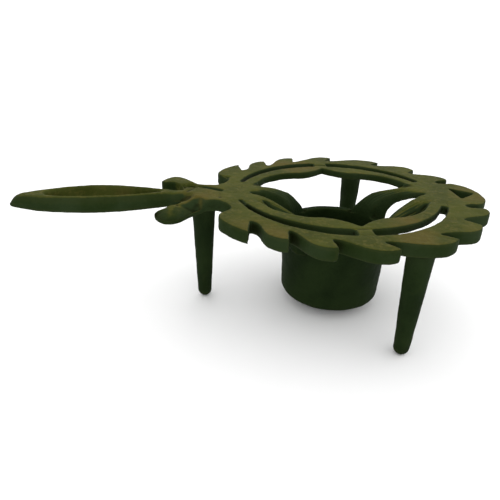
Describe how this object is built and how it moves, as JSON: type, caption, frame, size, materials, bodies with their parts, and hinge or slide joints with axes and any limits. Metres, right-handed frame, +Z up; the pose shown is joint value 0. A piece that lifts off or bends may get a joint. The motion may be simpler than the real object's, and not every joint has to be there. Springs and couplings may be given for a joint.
{
  "type": "trivet with candle cup",
  "caption": "Cast-iron laurel-wreath trivet on tapered legs, with a looped handle, a ribbon bow and a round candle cup hung on bent leaves under its open middle.",
  "frame": {"origin": "on the floor under the middle of the overall length and width; the axis of the candle cup is 43.8 mm from it towards +X", "axes": "+Z up; -X towards the end of the handle loop; +Y towards the back, so the two wreath legs stand at +Y and -Y"},
  "size_m": [0.2332, 0.1314, 0.0585],
  "materials": {
    "green_painted_iron": "dark olive-green paint, satin, worn paler and browner on the upper faces"
  },
  "bodies": {
    "root": {"wreath_ring": "green_painted_iron", "junction_left": "green_painted_iron", "junction_right": "green_painted_iron", "leaf_band_back": "green_painted_iron", "leaf_band_front": "green_painted_iron", "candle_cup": "green_painted_iron", "cup_arm_left_back": "green_painted_iron", "cup_arm_left_front": "green_painted_iron", "cup_arm_right_back": "green_painted_iron", "cup_arm_right_front": "green_painted_iron", "bow": "green_painted_iron", "handle_loop": "green_painted_iron", "leg_bow": "green_painted_iron", "leg_front": "green_painted_iron", "leg_rear": "green_painted_iron"}
  },
  "joints": []
}
